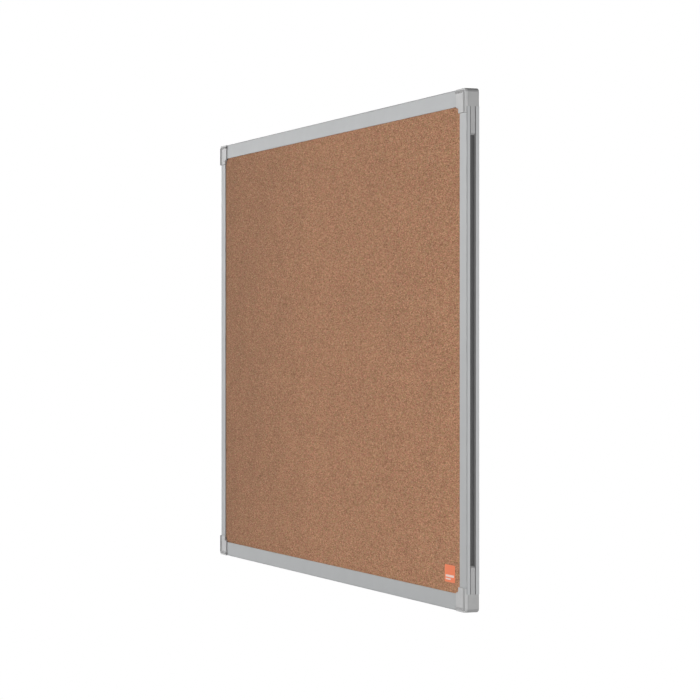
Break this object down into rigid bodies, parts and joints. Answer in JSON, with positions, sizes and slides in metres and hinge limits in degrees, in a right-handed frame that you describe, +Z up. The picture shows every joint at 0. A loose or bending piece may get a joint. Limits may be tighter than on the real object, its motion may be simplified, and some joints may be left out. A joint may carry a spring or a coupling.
{
  "type": "cork bulletin board",
  "caption": "Framed cork bulletin board for a wall: aluminium rails, moulded plastic corner pieces with pull-off covers over the wall screws, and a cork-faced softboard panel.",
  "frame": {"origin": "middle of the four wall-screw holes in the wall plane, the board's back", "axes": "+X to the viewer's right, +Y from the board's front to the wall, +Z up"},
  "size_m": [0.9, 0.0189, 0.6],
  "materials": {
    "rail_aluminium": "satin silver anodised",
    "corner_plastic": "fine-textured light grey moulding",
    "cover_plastic": "fine-textured light grey moulding",
    "screw_steel": "zinc plated",
    "cork": "fine natural agglomerated cork",
    "softboard": "raw fibreboard",
    "backing_paper": "grey-brown kraft paper",
    "label_vinyl": "printed vinyl sticker"
  },
  "bodies": {
    "board": {"rail_top": "rail_aluminium", "rail_right": "rail_aluminium", "rail_bottom": "rail_aluminium", "rail_left": "rail_aluminium", "corner_body_top_right": "corner_plastic", "corner_body_bottom_right": "corner_plastic", "corner_body_bottom_left": "corner_plastic", "corner_body_top_left": "corner_plastic", "rail_screws": "screw_steel", "cork_sheet": "cork", "softboard_core": "softboard", "backing_sheet": "backing_paper", "label": "label_vinyl"},
    "cover_top_right": {"corner_cover_top_right": "cover_plastic"},
    "cover_bottom_right": {"corner_cover_bottom_right": "cover_plastic"},
    "cover_bottom_left": {"corner_cover_bottom_left": "cover_plastic"},
    "cover_top_left": {"corner_cover_top_left": "cover_plastic"}
  },
  "joints": [
    {"name": "cover_top_right_pull", "type": "slide", "parent": "board", "child": "cover_top_right", "axis": [0, -1, 0], "range_m": [0, 0.02]},
    {"name": "cover_bottom_right_pull", "type": "slide", "parent": "board", "child": "cover_bottom_right", "axis": [0, -1, 0], "range_m": [0, 0.02]},
    {"name": "cover_bottom_left_pull", "type": "slide", "parent": "board", "child": "cover_bottom_left", "axis": [0, -1, 0], "range_m": [0, 0.02]},
    {"name": "cover_top_left_pull", "type": "slide", "parent": "board", "child": "cover_top_left", "axis": [0, -1, 0], "range_m": [0, 0.02]}
  ]
}
